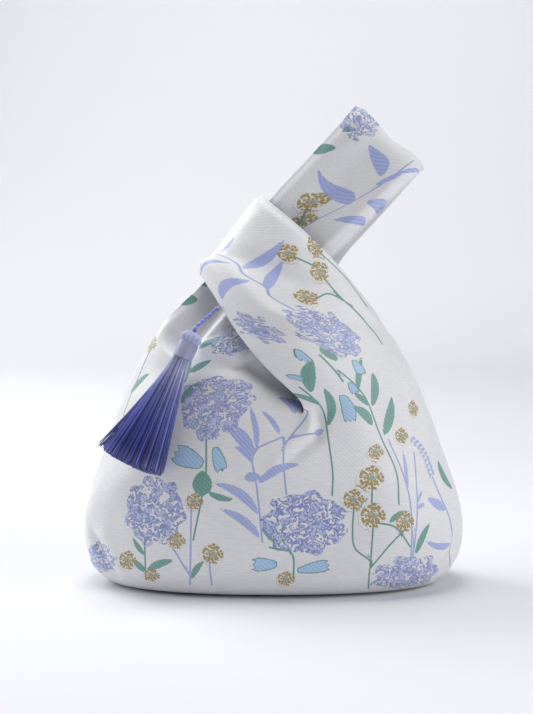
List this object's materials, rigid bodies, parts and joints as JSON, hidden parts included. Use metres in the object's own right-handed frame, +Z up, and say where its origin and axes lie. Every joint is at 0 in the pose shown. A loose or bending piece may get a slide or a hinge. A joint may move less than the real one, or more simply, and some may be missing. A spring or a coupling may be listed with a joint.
{
  "type": "knot bag",
  "caption": "Lined brocade wrist bag with an oval base, closed by drawing its long handle through its short one, with a silk tassel hanging from the short handle's edge.",
  "frame": {"origin": "on the surface the bag stands on, under the middle of its bounding box without the tassel", "axes": "+X to the right and +Y to the back as seen from the front, +Z up"},
  "size_m": [0.2162, 0.1256, 0.2728],
  "materials": {
    "brocade": "satin white brocade with woven blue, teal and gold flowers",
    "lining": "plain pale blue lining cloth",
    "silk": "glossy periwinkle silk thread"
  },
  "bodies": {
    "bag": {"outer_front_panel": "brocade", "outer_back_panel": "brocade", "lining_front_panel": "lining", "lining_back_panel": "lining"},
    "tassel": {"tassel_cord": "silk", "tassel_hank": "silk", "tassel_binding": "silk"}
  },
  "joints": [
    {"name": "tassel_swing", "type": "hinge", "parent": "bag", "child": "tassel", "pos_m": [-0.02975, -0.02616, 0.15963], "axis": [-0.8141, 0.5154, 0.2674], "range_deg": [0, 50]}
  ]
}
